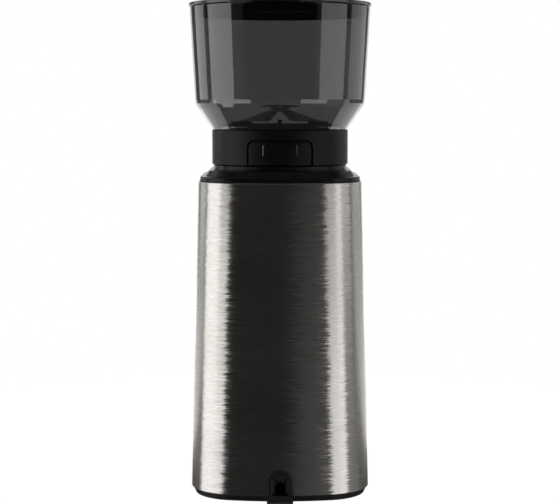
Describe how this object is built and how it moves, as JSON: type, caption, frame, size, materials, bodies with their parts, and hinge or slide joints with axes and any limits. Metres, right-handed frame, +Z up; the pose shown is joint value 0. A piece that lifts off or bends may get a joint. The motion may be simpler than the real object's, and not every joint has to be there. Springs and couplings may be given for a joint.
{
  "type": "burr coffee grinder",
  "caption": "Upright electric burr coffee grinder: tapered brushed steel body, clear bean hopper with lid, turning grind collar, spout over a filter-holder fork and a pull-out grounds tray.",
  "frame": {"origin": "on the table under the middle of the whole grinder", "axes": "+Z up along the grinding axis, front (spout and tray) faces -Y, rear with the cord outlet faces +Y"},
  "size_m": [0.142, 0.199, 0.3815],
  "materials": {
    "satin_black": "satin moulded",
    "collar_black": "fine satin",
    "gloss_black": "gloss",
    "lid_black": "soft gloss",
    "brushed_steel": "brushed across",
    "smoked_clear": "smoked clear",
    "frosted_clear": "frosted",
    "rubber": "matt",
    "grey_rubber": "matt",
    "zinc_steel": "zinc plated",
    "bearing_steel": "ground",
    "burr_steel": "machined",
    "cast_aluminium": "cast",
    "white_nylon": "natural",
    "grey_nylon": "glass filled",
    "circuit_board": "varnished",
    "felt": "pressed felt",
    "magnet_iron": "sintered",
    "bronze": "sintered",
    "copper": "enamelled"
  },
  "bodies": {
    "housing": {"base_plate": "satin_black", "rubber_feet": "rubber", "rear_foot": "grey_rubber", "base_screws": "zinc_steel", "steel_shell": "brushed_steel", "front_panel": "satin_black", "top_cap": "gloss_black", "cord_outlet": "satin_black", "cable_clamp": "white_nylon", "terminal_block": "white_nylon", "control_board": "circuit_board", "board_rails": "satin_black", "inner_frame": "zinc_steel", "gearbox_housing": "grey_nylon", "gearbox_cover": "grey_nylon", "gearbox_screws": "zinc_steel", "shaft_bearings": "bearing_steel", "intermediate_axle": "bearing_steel", "grind_chamber": "cast_aluminium", "dust_seal": "felt", "chute_duct": "satin_black", "chute_spout": "gloss_black", "portafilter_cradle": "satin_black", "motor_can": "zinc_steel", "motor_magnets": "magnet_iron", "motor_end_cap": "grey_nylon", "motor_bushes": "bronze", "motor_screws": "zinc_steel", "brush_holders": "bronze", "switch_housing": "gloss_black", "trigger_housing": "grey_nylon", "trigger_spring": "bearing_steel"},
    "collar": {"adjustment_collar": "collar_black", "ring_clip": "bearing_steel", "latch_spring": "bearing_steel"},
    "latch": {"latch_button": "collar_black"},
    "carrier": {"burr_carrier": "cast_aluminium", "outer_burr": "burr_steel"},
    "hopper_body": {"hopper": "smoked_clear", "hopper_sleeve": "collar_black", "hopper_seal": "rubber", "bean_guard": "frosted_clear"},
    "lid": {"hopper_lid": "lid_black"},
    "burr_spindle": {"burr_shaft": "bearing_steel", "output_gear": "white_nylon", "impeller": "grey_nylon", "inner_burr": "burr_steel", "burr_screw": "bearing_steel"},
    "intermediate": {"intermediate_gear": "white_nylon"},
    "rotor": {"motor_shaft": "bearing_steel", "motor_rotor": "magnet_iron", "rotor_winding": "copper", "commutator": "copper", "motor_pinion": "bronze", "cooling_fan": "white_nylon"},
    "rocker": {"rocker_button": "gloss_black"},
    "trigger": {"trigger_plunger": "gloss_black"},
    "tray": {"grounds_tray": "satin_black"}
  },
  "joints": [
    {"name": "collar_turn", "type": "hinge", "parent": "housing", "child": "collar", "pos_m": [0, 0.0285, 0.268], "axis": [0, 0, 1], "range_deg": [-70, 70]},
    {"name": "carrier_feed", "type": "slide", "parent": "collar", "child": "carrier", "axis": [0, 0, 1], "range_m": [-0.0003, 0.0003]},
    {"name": "latch_press", "type": "slide", "parent": "collar", "child": "latch", "axis": [0, -1, 0], "range_m": [0, 0.0016], "stiffness_N_per_m": 900, "springref_m": -0.003, "deforming": ["latch_spring"]},
    {"name": "hopper_lift", "type": "slide", "parent": "collar", "child": "hopper_body", "axis": [0, 0, 1], "range_m": [0, 0.1]},
    {"name": "lid_lift", "type": "slide", "parent": "hopper_body", "child": "lid", "axis": [0, 0, 1], "range_m": [0, 0.08]},
    {"name": "burr_spin", "type": "hinge", "parent": "housing", "child": "burr_spindle", "pos_m": [0, 0.0285, 0.16], "axis": [0, 0, 1], "continuous": true},
    {"name": "intermediate_spin", "type": "hinge", "parent": "housing", "child": "intermediate", "pos_m": [0.03351, 0.05662, 0.14], "axis": [0, 0, 1], "continuous": true},
    {"name": "rotor_spin", "type": "hinge", "parent": "housing", "child": "rotor", "pos_m": [0.00351, 0.05662, 0.08], "axis": [0, 0, 1], "continuous": true},
    {"name": "rocker_press", "type": "hinge", "parent": "housing", "child": "rocker", "pos_m": [0, -0.02782, 0.086], "axis": [1, 0, 0], "range_deg": [0, 14]},
    {"name": "trigger_press", "type": "slide", "parent": "housing", "child": "trigger", "axis": [0, 1, 0], "range_m": [0, 0.004], "stiffness_N_per_m": 600, "springref_m": -0.004, "deforming": ["trigger_spring"]},
    {"name": "tray_slide", "type": "slide", "parent": "housing", "child": "tray", "axis": [0, -1, 0], "range_m": [0, 0.07]}
  ],
  "couplings": [
    {"joint": "carrier_feed", "follows": "collar_turn", "m_per_rad": 0.00023873},
    {"joint": "intermediate_spin", "follows": "burr_spin", "ratio": -4},
    {"joint": "rotor_spin", "follows": "burr_spin", "ratio": 16}
  ]
}
